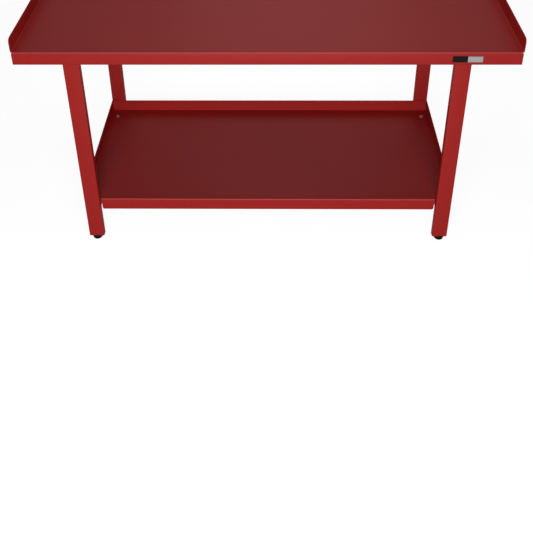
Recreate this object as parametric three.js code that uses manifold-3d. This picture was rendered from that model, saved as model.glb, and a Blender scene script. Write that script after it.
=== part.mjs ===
// Assembly table of folded sheet steel: a top tray on four tube legs, a lower shelf tray and levelling feet.
// Millimetres. The origin is on the floor under the middle of the top, +X to the right seen from the front,
// +Y to the rear and +Z up.
import * as THREE from "three";
import { mergeVertices } from "three/addons/utils/BufferGeometryUtils.js";
import Module from "manifold-3d";

const wasm = await Module();
wasm.setup();

// Top tray
const TOP_WIDTH = 1829;
const TOP_DEPTH = 762;
const WORK_HEIGHT = 864;
const TOP_SHEET = 2.5;
const TOP_BEND = 2.5;
const TOP_LIP = 50.8;
const TOP_LIP_CORNER = 18;
const APRON_DROP = 50.8;
const APRON_RETURN = 14;
const APRON_END_INSET = 2.5;
const APRON_CORNER = 1.5;
const RETURN_NOTCH_GAP = 3;
const LIP_SETBACK = 3;
const BEND_RELIEF = 2;

// Shelf tray
const SHELF_HEIGHT = 184;
const SHELF_SHEET = 2.5;
const SHELF_BEND = 2.5;
const SHELF_LIP = 50.8;
const SHELF_LIP_CORNER = 18;
const SHELF_DROP = 50.8;
const SHELF_DROP_CORNER = 8;
const SHELF_DROP_END_GAP = 2;

// Legs and side rails share one rectangular tube
const LEG_END_INSET = 179;
const LEG_SETBACK = 6;
const TUBE_WIDTH = 61;
const TUBE_DEPTH = 28;
const TUBE_WALL = 2;
const TUBE_CORNER = 4;

// Hat-section stiffeners
const STIFFENER_WIDTH = 60;
const STIFFENER_FLANGE = 20;
const STIFFENER_HEIGHT = 28;
const STIFFENER_SHEET = 1.5;
const STIFFENER_BEND = 2;
const TOP_STIFFENER_OFFSET = 165;

// Fasteners of the shelf and the top, thread size 8
const BOLT_DIAMETER = 8;
const BOLT_HEAD_FLATS = 13;
const BOLT_HEAD_HEIGHT = 5.3;
const NUT_HEIGHT = 6.5;
const WASHER_DIAMETER = 16;
const WASHER_THICKNESS = 1.6;
const THREAD_PROUD = 5;
const SHELF_BOLT_FROM_LEG = 64;
const TOP_STUD_FROM_LEG = 90;

// Levelling feet, thread size 10
const SOLE_DIAMETER = 34;
const SOLE_THICKNESS = 3;
const BASE_FLATS = 37;
const BASE_THICKNESS = 12;
const BASE_CHAMFER = 1.5;
const BASE_SOCKET_FLOOR = 3;
const FOOT_STUD_DIAMETER = 10;
const FOOT_STUD_LENGTH = 50;
const FOOT_PLATE_THICKNESS = 4;
const WELD_NUT_FLATS = 17;
const WELD_NUT_HEIGHT = 8;

// Badge on the front apron
const BADGE_WIDTH = 109;
const BADGE_HEIGHT = 25;
const BADGE_CORNER = 2;
const BADGE_THICKNESS = 0.8;
const BADGE_PANEL_THICKNESS = 0.5;
const BADGE_RIM = 1;
const BADGE_FROM_RIGHT = 197.5;
const BADGE_BELOW_TOP = 26.6;

// Clearances
const SEAT_GAP = 0.3;
const BADGE_GAP = 0.1;
const THREAD_CLEARANCE = 0.35;
const HOLE_CLEARANCE = 0.6;

// Facets of round shapes, how far a cutting shape runs past what it cuts, and how close points count as one
const ROUND_SIDES = 24;
const CORNER_STEPS = 4;
const CUT_PAST = 20;
const MERGE_WITHIN = 1e-4;

const halfTopWidth = TOP_WIDTH / 2;
const halfTopDepth = TOP_DEPTH / 2;
const topUnderside = WORK_HEIGHT - TOP_SHEET;
const shelfUnderside = SHELF_HEIGHT - SHELF_SHEET;
const legSpan = TOP_WIDTH - 2 * LEG_END_INSET;
const legX = (legSpan - TUBE_WIDTH) / 2;
const legY = halfTopDepth - LEG_SETBACK - TUBE_DEPTH / 2;
const legInnerX = legX - TUBE_WIDTH / 2;
const legInnerY = legY - TUBE_DEPTH / 2;
const betweenLegs = 2 * (legInnerY - SEAT_GAP);
const betweenRails = 2 * (legInnerX - SEAT_GAP);
const upperRailTop = topUnderside - SEAT_GAP;
const lowerRailTop = shelfUnderside - SEAT_GAP;
const baseBottom = SOLE_THICKNESS + SEAT_GAP;
const baseTop = baseBottom + BASE_THICKNESS;
const legBottom = baseTop + SEAT_GAP;
const legTop = topUnderside - SEAT_GAP;
const shelfBoltY = legInnerY - SHELF_BOLT_FROM_LEG;
const topStudY = legInnerY - TOP_STUD_FROM_LEG;
const boltHole = BOLT_DIAMETER + 2 * HOLE_CLEARANCE;
const footBore = FOOT_STUD_DIAMETER + 2 * THREAD_CLEARANCE;
const footPlateHole = FOOT_STUD_DIAMETER + 2 * HOLE_CLEARANCE;
const tubeInnerCorner = Math.max(TUBE_CORNER - TUBE_WALL, 0);

const powderRed = new THREE.MeshStandardMaterial({ color: 0x9d3030, roughness: 0.45, metalness: 0 });
const zincSteel = new THREE.MeshStandardMaterial({ color: 0xb9bbbd, roughness: 0.35, metalness: 1 });
const blackNylon = new THREE.MeshStandardMaterial({ color: 0x1b1b1c, roughness: 0.6, metalness: 0 });
const blackRubber = new THREE.MeshStandardMaterial({ color: 0x121212, roughness: 0.9, metalness: 0 });
const badgeBlack = new THREE.MeshStandardMaterial({ color: 0x151517, roughness: 0.4, metalness: 0 });
const badgeSilver = new THREE.MeshStandardMaterial({ color: 0xc4c6c8, roughness: 0.35, metalness: 1 });

const table = new THREE.Group();

// A closed geometry as a solid that can be joined and cut.
function solid(geometry) {
  const bare = geometry.clone();
  bare.deleteAttribute("normal");
  bare.deleteAttribute("uv");
  const merged = mergeVertices(bare, MERGE_WITHIN);
  const corners = merged.index.array;
  const triVerts = [];
  for (let i = 0; i < corners.length; i += 3) {
    const [a, b, c] = corners.slice(i, i + 3);
    if (a !== b && b !== c && c !== a) triVerts.push(a, b, c);
  }
  return new wasm.Manifold(
    new wasm.Mesh({
      numProp: 3,
      vertProperties: new Float32Array(merged.attributes.position.array),
      triVerts: new Uint32Array(triVerts),
    }),
  );
}

// A joined or cut solid as a geometry again.
function geometryOf(body) {
  const made = body.getMesh();
  const geometry = new THREE.BufferGeometry();
  geometry.setAttribute("position", new THREE.BufferAttribute(made.vertProperties, 3));
  geometry.setIndex(new THREE.BufferAttribute(made.triVerts, 1));
  return geometry.toNonIndexed();
}

// Adds one named piece to the table.
function addPiece(name, geometry, material, x = 0, y = 0, z = 0) {
  geometry.computeVertexNormals();
  const mesh = new THREE.Mesh(geometry, material);
  mesh.name = name;
  mesh.position.set(x, y, z);
  table.add(mesh);
}

// A flat outline pushed along +Z from 0.
function prism(shape, depth) {
  return new THREE.ExtrudeGeometry(shape, { depth, bevelEnabled: false, curveSegments: CORNER_STEPS });
}

// An outline in Y and Z, pushed along X over a length centred on 0.
function prismAlongX(shape, length) {
  const turn = new THREE.Matrix4().makeBasis(
    new THREE.Vector3(0, 1, 0),
    new THREE.Vector3(0, 0, 1),
    new THREE.Vector3(1, 0, 0),
  );
  return prism(shape, length).applyMatrix4(turn).translate(-length / 2, 0, 0);
}

// An outline in X and Z, pushed along Y over a length centred on 0.
function prismAlongY(shape, length) {
  const turn = new THREE.Matrix4().makeBasis(
    new THREE.Vector3(1, 0, 0),
    new THREE.Vector3(0, 0, 1),
    new THREE.Vector3(0, -1, 0),
  );
  return prism(shape, length).applyMatrix4(turn).translate(0, length / 2, 0);
}

// A rectangle from (left, low) to (right, high) with its own radius at each corner.
function roundedBox(left, low, right, high, radii) {
  const { lowLeft = 0, lowRight = 0, highRight = 0, highLeft = 0 } = radii;
  const shape = new THREE.Shape();
  shape.moveTo(left + lowLeft, low);
  shape.lineTo(right - lowRight, low);
  if (lowRight) shape.absarc(right - lowRight, low + lowRight, lowRight, -Math.PI / 2, 0);
  shape.lineTo(right, high - highRight);
  if (highRight) shape.absarc(right - highRight, high - highRight, highRight, 0, Math.PI / 2);
  shape.lineTo(left + highLeft, high);
  if (highLeft) shape.absarc(left + highLeft, high - highLeft, highLeft, Math.PI / 2, Math.PI);
  shape.lineTo(left, low + lowLeft);
  if (lowLeft) shape.absarc(left + lowLeft, low + lowLeft, lowLeft, Math.PI, 1.5 * Math.PI);
  return shape;
}

// The same radius at all four corners of a rectangle centred on 0.
function roundedRectangle(width, height, radius) {
  const radii = { lowLeft: radius, lowRight: radius, highRight: radius, highLeft: radius };
  return roundedBox(-width / 2, -height / 2, width / 2, height / 2, radii);
}

// The section of a sheet that is folded along a path: the path is the middle of the sheet, bendRadius the
// radius on the inside of each fold.
function foldedStrip(path, sheet, bendRadius) {
  const middleRadius = bendRadius + sheet / 2;
  const sides = [[], []];
  const heading = (from, to) => new THREE.Vector2().subVectors(to, from).normalize();
  const add = (point, ahead) => {
    const left = new THREE.Vector2(-ahead.y, ahead.x).multiplyScalar(sheet / 2);
    sides[0].push(point.clone().add(left));
    sides[1].push(point.clone().sub(left));
  };
  const points = path.map(([u, v]) => new THREE.Vector2(u, v));
  add(points[0], heading(points[0], points[1]));
  for (let i = 1; i < points.length - 1; i++) {
    const before = heading(points[i - 1], points[i]);
    const after = heading(points[i], points[i + 1]);
    const turn = Math.atan2(before.cross(after), before.dot(after));
    const setback = middleRadius * Math.tan(Math.abs(turn) / 2);
    const start = points[i].clone().addScaledVector(before, -setback);
    const inward = new THREE.Vector2(-before.y, before.x).multiplyScalar(Math.sign(turn) * middleRadius);
    const centre = start.clone().add(inward);
    for (let step = 0; step <= CORNER_STEPS; step++) {
      const angle = (turn * step) / CORNER_STEPS;
      const origin = new THREE.Vector2();
      const point = start.clone().sub(centre).rotateAround(origin, angle).add(centre);
      add(point, before.clone().rotateAround(origin, angle));
    }
  }
  const last = points.length - 1;
  add(points[last], heading(points[last - 1], points[last]));
  return new THREE.Shape([...sides[1], ...sides[0].reverse()]);
}

function circle(diameter) {
  const shape = new THREE.Shape();
  for (let i = 0; i < ROUND_SIDES; i++) {
    const angle = (2 * Math.PI * i) / ROUND_SIDES;
    const x = (diameter / 2) * Math.cos(angle);
    const y = (diameter / 2) * Math.sin(angle);
    if (i === 0) shape.moveTo(x, y);
    else shape.lineTo(x, y);
  }
  shape.closePath();
  return shape;
}

function hexagon(flats) {
  const shape = new THREE.Shape();
  const corner = flats / Math.sqrt(3);
  for (let i = 0; i < 6; i++) {
    const angle = (Math.PI * i) / 3;
    if (i === 0) shape.moveTo(corner, 0);
    else shape.lineTo(corner * Math.cos(angle), corner * Math.sin(angle));
  }
  shape.closePath();
  return shape;
}

// A flat outline with a round hole in its middle.
function withHole(shape, diameter) {
  shape.holes.push(circle(diameter));
  return shape;
}

// A round bar along Z that cuts a hole, centred on a point of the X Y plane.
function drill(diameter, x, y, low, high) {
  return solid(prism(circle(diameter), high - low).translate(x, y, low));
}

// A tray folded from one sheet. Its sides and rear are turned up, its front is turned down.
// The floor's upper face is at Z 0, the middle of its outline at X 0 and Y 0.
function foldedTray(size) {
  const { width, depth, sheet, bend, lip, lipCorner, drop, dropHalf, dropCorner, dropReturn } = size;
  const outerBend = bend + sheet;
  const front = -depth / 2;
  const rear = depth / 2;
  const side = width / 2;
  const past = lip + CUT_PAST;
  const through = depth + 2 * CUT_PAST;
  const bothLow = (radius) => ({ lowLeft: radius, lowRight: radius });

  const outerSides = roundedBox(-side, -sheet, side, lip, bothLow(outerBend));
  const innerSides = roundedBox(sheet - side, 0, side - sheet, past, bothLow(bend));
  const outerRadii = { lowRight: outerBend, highLeft: lipCorner };
  const outerLength = roundedBox(front + LIP_SETBACK, -sheet, rear, lip, outerRadii);
  const innerLength = roundedBox(front - CUT_PAST, 0, rear - sheet, past, { lowRight: bend });
  const outer = solid(prismAlongY(outerSides, through)).intersect(solid(prismAlongX(outerLength, width)));
  const inner = solid(prismAlongY(innerSides, through)).intersect(solid(prismAlongX(innerLength, width)));

  const notchHalf = Math.min(dropHalf + BEND_RELIEF, side - outerBend);
  const notch = new THREE.BoxGeometry(2 * notchHalf, outerBend + CUT_PAST, 2 * (sheet + bend));
  notch.translate(0, front + (outerBend - CUT_PAST) / 2, 0);

  const foot = dropReturn ? sheet / 2 - drop : -drop;
  const path = [
    [front + outerBend + CUT_PAST, -sheet / 2],
    [front + sheet / 2, -sheet / 2],
    [front + sheet / 2, foot],
  ];
  if (dropReturn) path.push([front + dropReturn, foot]);
  const strip = solid(prismAlongX(foldedStrip(path, sheet, bend), 2 * dropHalf));
  const outline = roundedBox(-dropHalf, -drop, dropHalf, CUT_PAST, bothLow(dropCorner));
  const flange = strip.intersect(solid(prismAlongY(outline, through)));
  return outer.subtract(inner).subtract(solid(notch)).add(flange);
}

function addTopTray() {
  let tray = foldedTray({
    width: TOP_WIDTH,
    depth: TOP_DEPTH,
    sheet: TOP_SHEET,
    bend: TOP_BEND,
    lip: TOP_LIP,
    lipCorner: TOP_LIP_CORNER,
    drop: APRON_DROP,
    dropHalf: halfTopWidth - APRON_END_INSET,
    dropCorner: APRON_CORNER,
    dropReturn: APRON_RETURN,
  });
  // The apron's return is cut away in front of the two front legs.
  const notchDepth = APRON_RETURN + CUT_PAST;
  for (const side of [-1, 1]) {
    const notch = new THREE.BoxGeometry(TUBE_WIDTH + 2 * RETURN_NOTCH_GAP, notchDepth, CUT_PAST);
    notch.translate(side * legX, -legY - TUBE_DEPTH / 2 - SEAT_GAP + notchDepth / 2, -APRON_DROP);
    tray = tray.subtract(solid(notch));
  }
  addPiece("top_tray", geometryOf(tray), powderRed, 0, 0, WORK_HEIGHT);
}

function addBadge() {
  const x = halfTopWidth - BADGE_FROM_RIGHT;
  const z = WORK_HEIGHT - BADGE_BELOW_TOP;
  const plateY = -halfTopDepth - BADGE_GAP - BADGE_THICKNESS / 2;
  const panelY = -halfTopDepth - 2 * BADGE_GAP - BADGE_THICKNESS - BADGE_PANEL_THICKNESS / 2;
  const plate = roundedRectangle(BADGE_WIDTH, BADGE_HEIGHT, BADGE_CORNER);
  const panelCorner = Math.max(BADGE_CORNER - BADGE_RIM, 0);
  const panelRight = BADGE_WIDTH / 2 - BADGE_RIM;
  const panelTop = BADGE_HEIGHT / 2 - BADGE_RIM;
  const rightRadii = { lowRight: panelCorner, highRight: panelCorner };
  const panel = roundedBox(0, -panelTop, panelRight, panelTop, rightRadii);
  addPiece("badge_plate", prismAlongY(plate, BADGE_THICKNESS), badgeBlack, x, plateY, z);
  addPiece("badge_panel", prismAlongY(panel, BADGE_PANEL_THICKNESS), badgeSilver, x, panelY, z);
}

function tubeSection() {
  const innerWidth = TUBE_WIDTH - 2 * TUBE_WALL;
  const innerDepth = TUBE_DEPTH - 2 * TUBE_WALL;
  const section = roundedRectangle(TUBE_WIDTH, TUBE_DEPTH, TUBE_CORNER);
  section.holes.push(roundedRectangle(innerWidth, innerDepth, tubeInnerCorner));
  return section;
}

function addLeg(place) {
  const leg = prism(tubeSection(), legTop - legBottom);
  addPiece(`${place.name}_leg`, leg, powderRed, place.x, place.y, legBottom);
}

// A tube laid flat between a front and a rear leg, with a hole for a bolt or stud near each end.
function addRail(name, x, top, holeY) {
  let rail = solid(prismAlongY(tubeSection(), betweenLegs));
  for (const y of [-holeY, holeY]) {
    rail = rail.subtract(drill(boltHole, 0, y, -TUBE_DEPTH, TUBE_DEPTH));
  }
  addPiece(name, geometryOf(rail), powderRed, x, 0, top - TUBE_DEPTH / 2);
}

// A hat section, open upwards, whose two flanges lie against the sheet above it.
function addStiffener(name, y, top) {
  const flangeEnd = STIFFENER_WIDTH / 2 + STIFFENER_FLANGE;
  const wall = (STIFFENER_WIDTH - STIFFENER_SHEET) / 2;
  const high = -STIFFENER_SHEET / 2;
  const low = STIFFENER_SHEET / 2 - STIFFENER_HEIGHT;
  const path = [
    [-flangeEnd, high],
    [-wall, high],
    [-wall, low],
    [wall, low],
    [wall, high],
    [flangeEnd, high],
  ];
  const hat = prismAlongX(foldedStrip(path, STIFFENER_SHEET, STIFFENER_BEND), betweenRails);
  addPiece(name, hat, powderRed, 0, y, top);
}

function addShelfTray() {
  let tray = foldedTray({
    width: legSpan,
    depth: betweenLegs,
    sheet: SHELF_SHEET,
    bend: SHELF_BEND,
    lip: SHELF_LIP,
    lipCorner: SHELF_LIP_CORNER,
    drop: SHELF_DROP,
    dropHalf: legInnerX - SHELF_DROP_END_GAP,
    dropCorner: SHELF_DROP_CORNER,
    dropReturn: 0,
  });
  for (const x of [-legX, legX]) {
    for (const y of [-shelfBoltY, shelfBoltY]) {
      tray = tray.subtract(drill(boltHole, x, y, -CUT_PAST, CUT_PAST));
    }
  }
  addPiece("shelf_tray", geometryOf(tray), powderRed, 0, 0, SHELF_HEIGHT);
}

// A bolt down through the shelf and a lower rail, with a washer under its head and a nut below the rail.
function addShelfBolt(place) {
  const y = Math.sign(place.y) * shelfBoltY;
  const washerZ = SHELF_HEIGHT + SEAT_GAP;
  const headZ = washerZ + WASHER_THICKNESS + SEAT_GAP;
  const nutZ = lowerRailTop - TUBE_DEPTH - SEAT_GAP - NUT_HEIGHT;
  const shank = headZ - nutZ + THREAD_PROUD;
  const head = solid(prism(hexagon(BOLT_HEAD_FLATS), BOLT_HEAD_HEIGHT));
  const bolt = head.add(drill(BOLT_DIAMETER, 0, 0, -shank, BOLT_HEAD_HEIGHT / 2));
  const washer = prism(withHole(circle(WASHER_DIAMETER), boltHole), WASHER_THICKNESS);
  addPiece(`${place.name}_shelf_bolt`, geometryOf(bolt), zincSteel, place.x, y, headZ);
  addPiece(`${place.name}_shelf_washer`, washer, zincSteel, place.x, y, washerZ);
  addPiece(`${place.name}_shelf_nut`, hexNut(), zincSteel, place.x, y, nutZ);
}

function hexNut() {
  return prism(withHole(hexagon(BOLT_HEAD_FLATS), BOLT_DIAMETER + 2 * THREAD_CLEARANCE), NUT_HEIGHT);
}

// A stud welded to the underside of the top, down through an upper rail to its nut.
function addTopStud(place) {
  const y = Math.sign(place.y) * topStudY;
  const nutZ = upperRailTop - TUBE_DEPTH - SEAT_GAP - NUT_HEIGHT;
  const studZ = nutZ - THREAD_PROUD;
  const stud = prism(circle(BOLT_DIAMETER), topUnderside - SEAT_GAP - studZ);
  addPiece(`${place.name}_top_stud`, stud, zincSteel, place.x, y, studZ);
  addPiece(`${place.name}_top_nut`, hexNut(), zincSteel, place.x, y, nutZ);
}

// The hexagonal base of a foot, its corners chamfered, with a socket for the stud.
function footBase() {
  const corner = BASE_FLATS / Math.sqrt(3);
  const profile = [
    [0, 0],
    [corner - BASE_CHAMFER, 0],
    [corner, BASE_CHAMFER],
    [corner, BASE_THICKNESS - BASE_CHAMFER],
    [corner - BASE_CHAMFER, BASE_THICKNESS],
    [0, BASE_THICKNESS],
  ].map(([r, z]) => new THREE.Vector2(r, z));
  const round = new THREE.LatheGeometry(profile, 2 * ROUND_SIDES).rotateX(Math.PI / 2);
  const socket = drill(footBore, 0, 0, BASE_SOCKET_FLOOR, BASE_THICKNESS + CUT_PAST);
  return solid(prism(hexagon(BASE_FLATS), BASE_THICKNESS)).intersect(solid(round)).subtract(socket);
}

// A screw foot under one leg, with the plate and weld nut in the leg's end that take its stud.
function addFoot(place) {
  const plateWidth = TUBE_WIDTH - 2 * TUBE_WALL - 2 * SEAT_GAP;
  const plateDepth = TUBE_DEPTH - 2 * TUBE_WALL - 2 * SEAT_GAP;
  const plate = withHole(roundedRectangle(plateWidth, plateDepth, tubeInnerCorner), footPlateHole);
  const nut = withHole(hexagon(WELD_NUT_FLATS), footBore);
  const nutZ = legBottom + FOOT_PLATE_THICKNESS + SEAT_GAP;
  const studZ = baseBottom + BASE_SOCKET_FLOOR + SEAT_GAP;
  const pieces = [
    ["foot_plate", prism(plate, FOOT_PLATE_THICKNESS), powderRed, legBottom],
    ["weld_nut", prism(nut, WELD_NUT_HEIGHT), zincSteel, nutZ],
    ["foot_stud", prism(circle(FOOT_STUD_DIAMETER), FOOT_STUD_LENGTH), zincSteel, studZ],
    ["foot_base", geometryOf(footBase()), blackNylon, baseBottom],
    ["foot_sole", prism(circle(SOLE_DIAMETER), SOLE_THICKNESS), blackRubber, 0],
  ];
  for (const [name, geometry, material, z] of pieces) {
    addPiece(`${place.name}_${name}`, geometry, material, place.x, place.y, z);
  }
}

const legPlaces = [
  { name: "front_left", x: -legX, y: -legY },
  { name: "front_right", x: legX, y: -legY },
  { name: "rear_left", x: -legX, y: legY },
  { name: "rear_right", x: legX, y: legY },
];

addTopTray();
addBadge();
addStiffener("front_top_stiffener", -TOP_STIFFENER_OFFSET, topUnderside - SEAT_GAP);
addStiffener("rear_top_stiffener", TOP_STIFFENER_OFFSET, topUnderside - SEAT_GAP);
addRail("left_upper_rail", -legX, upperRailTop, topStudY);
addRail("right_upper_rail", legX, upperRailTop, topStudY);
addRail("left_lower_rail", -legX, lowerRailTop, shelfBoltY);
addRail("right_lower_rail", legX, lowerRailTop, shelfBoltY);
addShelfTray();
addStiffener("shelf_stiffener", 0, shelfUnderside - SEAT_GAP);
for (const place of legPlaces) {
  addLeg(place);
  addTopStud(place);
  addShelfBolt(place);
  addFoot(place);
}

export default table;
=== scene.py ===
"""Looks of the assembly table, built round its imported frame.

Two trays folded from sheet steel, tube legs and rails, zinc fasteners, screw feet and a bare badge.
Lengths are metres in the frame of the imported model: +X right, +Y to the rear, +Z up, the floor at 0.
"""

import logging
import math
from collections.abc import Sequence
from dataclasses import dataclass, field
from enum import Enum
from functools import cached_property

import bmesh
import bpy
from bmesh.types import BMesh, BMVert
from bpy.types import ID, Material, Node, NodeSocket, NodeTree, Object
from mathutils import Matrix, Vector

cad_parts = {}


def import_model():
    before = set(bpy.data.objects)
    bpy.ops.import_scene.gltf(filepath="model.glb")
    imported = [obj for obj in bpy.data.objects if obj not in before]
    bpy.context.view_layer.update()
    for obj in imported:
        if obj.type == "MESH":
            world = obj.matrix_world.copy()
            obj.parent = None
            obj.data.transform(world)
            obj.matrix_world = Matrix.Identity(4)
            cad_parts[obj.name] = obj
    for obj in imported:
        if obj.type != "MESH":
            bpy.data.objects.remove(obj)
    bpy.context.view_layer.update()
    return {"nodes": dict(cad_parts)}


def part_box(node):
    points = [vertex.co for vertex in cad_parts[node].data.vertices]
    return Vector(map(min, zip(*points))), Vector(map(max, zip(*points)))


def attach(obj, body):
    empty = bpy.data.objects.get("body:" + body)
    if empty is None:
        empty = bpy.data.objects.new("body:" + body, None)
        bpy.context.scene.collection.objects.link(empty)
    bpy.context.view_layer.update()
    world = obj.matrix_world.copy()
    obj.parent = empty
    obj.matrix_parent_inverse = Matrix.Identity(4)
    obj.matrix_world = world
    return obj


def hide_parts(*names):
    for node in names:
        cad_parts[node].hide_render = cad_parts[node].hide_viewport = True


LOG = logging.getLogger("assembly_table")
MM = 0.001
PHOTO_SIDE = 533
SENSOR = 36.0
VIEW_END = 200.0
SMOOTH_BELOW = math.radians(35)
BREAK_ABOVE = math.radians(50)
BREAK_STEPS = 2
WELD_DISTANCE = 1e-6
FULL_TURN = 2 * math.pi
HEX_TURN = math.pi / 3
WHITE = "#FFFFFF"
TOP_HEIGHT = 864 * MM
SHELF_HEIGHT = 184 * MM
NOTCH_PLAY = 3 * MM
TABLE = "table"
# The mesh attribute that marks the outside of the front bends for a painted highlight.
PAINTED_HIGHLIGHT_MARK = "outer_bend"
Outline = list[tuple[float, float]]
Inputs = dict[str | int, object]


class Corner(Enum):
    """A corner of the table, with the signs of its X and Y."""

    FRONT_LEFT = (-1, -1)
    FRONT_RIGHT = (1, -1)
    REAR_LEFT = (-1, 1)
    REAR_RIGHT = (1, 1)

    def node(self, piece: str) -> str:
        """The frame's name of a piece at this corner."""
        return f"{self.name.lower()}_{piece}"

    @classmethod
    def nodes(cls, piece: str) -> list[str]:
        """The frame's names of a piece at all four corners."""
        return [corner.node(piece) for corner in cls]


class SizeKind(Enum):
    """What a Geometry Nodes tree takes as a named input."""

    START = "NodeSocketGeometry"
    LENGTH = "NodeSocketFloat"
    COUNT = "NodeSocketInt"
    SHAPE = "NodeSocketObject"
    FINISH = "NodeSocketMaterial"


def linear(colour: str) -> tuple[float, float, float, float]:
    """Turns an sRGB hex colour into linear RGBA.

    Args:
        colour: The colour as #RRGGBB.

    Returns:
        Its linear red, green, blue and an alpha of 1.
    """
    levels = [int(colour[i : i + 2], 16) / 255 for i in (1, 3, 5)]
    red, green, blue = (v / 12.92 if v <= 0.04045 else ((v + 0.055) / 1.055) ** 2.4 for v in levels)
    return red, green, blue, 1.0


def per_metre(size_mm: float) -> float:
    """The texture scale at which a pattern repeats about every size_mm millimetres."""
    return 1.0 / (size_mm * MM)


def feed(node: Node, inputs: Inputs) -> None:
    """Sets or links inputs of a node.

    Args:
        node: The node.
        inputs: For an input's name or number, a value, an output to link from, a node whose first output
            is meant, or a list of these.
    """
    for key, given in inputs.items():
        for value in given if isinstance(given, list) else [given]:
            source = value.outputs[0] if isinstance(value, Node) else value
            if isinstance(source, NodeSocket):
                node.id_data.links.new(source, node.inputs[key])
            else:
                node.inputs[key].default_value = source


def add_node(
    tree: NodeTree, kind: str, settings: dict[str, object] | None = None, inputs: Inputs | None = None
) -> Node:
    """Adds one node to a tree, with its settings and links.

    Args:
        tree: The tree that takes the node.
        kind: Blender's name of the node's type.
        settings: Values of the node's own options.
        inputs: What feeds its inputs.

    Returns:
        The new node.
    """
    node = tree.nodes.new(kind)
    for option, value in (settings or {}).items():
        setattr(node, option, value)
    feed(node, inputs or {})
    return node


@dataclass(frozen=True)
class Grain:
    """A noise in a surface: its real size, how far it breaks up, and its size along X if it is drawn out."""

    size_mm: float
    detail: float
    length_mm: float = 0.0


@dataclass(frozen=True)
class Finish:
    """What a finish is: its name, the record's slot, two colours, its gloss, its grains and its relief.

    It has one grain, or three: of its tint, of its gloss and of its relief.
    """

    name: str
    slot: str
    colour: str
    other_colour: str
    roughness: tuple[float, float]
    grains: tuple[Grain, ...]
    relief_mm: float = 0.0
    relief_strength: float = 0.0
    metallic: float = 0.0
    specular: float = 0.5

    @cached_property
    def material(self) -> Material:
        """Makes the material when it is first asked for.

        Returns:
            The material, whose grains vary its colour, its gloss and, where it has any, its relief.
        """
        material = bpy.data.materials.new(self.name)
        material.use_nodes = True
        tree = material.node_tree
        where = add_node(tree, "ShaderNodeTexCoord").outputs["Object"]
        patterns = []
        for grain in self.grains:
            across, along = per_metre(grain.size_mm), per_metre(grain.length_mm or grain.size_mm)
            real = {"Vector": where, "Scale": (along, across, across)}
            sized = add_node(tree, "ShaderNodeMapping", inputs=real)
            noise = {"Vector": sized, "Scale": 1.0, "Detail": grain.detail}
            patterns.append(add_node(tree, "ShaderNodeTexNoise", inputs=noise))
        tint, gloss, relief = patterns if len(patterns) == 3 else patterns * 3
        colours = {6: linear(self.colour), 7: linear(self.other_colour)}
        mixed = add_node(tree, "ShaderNodeMix", {"data_type": "RGBA"}, {0: tint, **colours})
        low, high = self.roughness
        spread = add_node(tree, "ShaderNodeMapRange", inputs={"Value": gloss, "To Min": low, "To Max": high})
        fed = {"Base Color": mixed.outputs[2], "Roughness": spread}
        if self.relief_mm:
            depth = {"Strength": self.relief_strength, "Distance": self.relief_mm * MM}
            fed["Normal"] = add_node(tree, "ShaderNodeBump", inputs={**depth, "Height": relief})
        even = {"Metallic": self.metallic, "Specular IOR Level": self.specular}
        feed(tree.nodes["Principled BSDF"], {**fed, **even, **self.add_skin(tree, fed)})
        return material

    def add_skin(self, tree: NodeTree, fed: Inputs) -> Inputs:
        """What else feeds the shader: nothing, unless the finish has a skin."""
        return {}


@dataclass(frozen=True)
class PowderCoat(Finish):
    """Polyester powder, sprayed on steel and baked: a satin skin with a faint orange peel.

    Slow clouds run through the film's colour, specks through its gloss and the peel through its bump.
    The real specks are too fine to show, so they are drawn coarser. The front bends carry a painted
    highlight.
    """

    name: str = "powder_coat_red"
    slot: str = "powder_coat"
    colour: str = "#A61F1B"
    other_colour: str = "#A01C19"
    roughness: tuple[float, float] = (0.42, 0.52)
    grains: tuple[Grain, ...] = (Grain(260.0, 3.0), Grain(1.1, 1.0), Grain(3.2, 2.0))
    relief_mm: float = 0.02
    relief_strength: float = 0.5
    specular: float = 0.0
    # The colour of the painted highlight on the outside of the front bends.
    bend_highlight_colour: str = "#BE4846"
    skin: float = 0.41
    skin_roughness: float = 0.5

    def add_skin(self, tree: NodeTree, fed: Inputs) -> Inputs:
        """Paints a paler highlight on the outside of the front bends, and lays the satin skin over it.

        Args:
            tree: The material's tree.
            fed: What feeds the shader so far.

        Returns:
            What else feeds the shader.
        """
        # The mask of the painted highlight: 1 on the outside of the front bends, 0 elsewhere.
        bends = add_node(tree, "ShaderNodeAttribute", {"attribute_name": PAINTED_HIGHLIGHT_MARK}).outputs["Fac"]
        colours = {6: fed["Base Color"], 7: linear(self.bend_highlight_colour)}
        highlighted_film = add_node(tree, "ShaderNodeMix", {"data_type": "RGBA"}, {0: bends, **colours})
        coat = {"Coat Weight": self.skin, "Coat Roughness": self.skin_roughness, "Coat Normal": fed["Normal"]}
        return {"Base Color": highlighted_film.outputs[2], **coat}


@dataclass(frozen=True)
class ZincPlate(Finish):
    """Steel with bright zinc plate: pale, faintly blue, with small crystals in its tint and gloss.

    The real crystals are too fine to show, so they are drawn coarser.
    """

    name: str = "zinc_plate"
    slot: str = "zinc"
    colour: str = "#C6C9CC"
    other_colour: str = "#A9AEB4"
    roughness: tuple[float, float] = (0.24, 0.42)
    grains: tuple[Grain, ...] = (Grain(2.4, 3.0),)
    metallic: float = 1.0


@dataclass(frozen=True)
class MouldedNylon(Finish):
    """Black moulded nylon: matt, with the grain of its spark-eroded mould in tint, gloss and bump.

    The real grain is too fine to show, so it is drawn coarser.
    """

    name: str = "moulded_nylon"
    slot: str = "foot_black"
    colour: str = "#0A0A0B"
    other_colour: str = "#111112"
    roughness: tuple[float, float] = (0.42, 0.6)
    grains: tuple[Grain, ...] = (Grain(0.8, 2.0),)
    relief_mm: float = 0.05
    relief_strength: float = 0.6
    specular: float = 0.05


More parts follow.
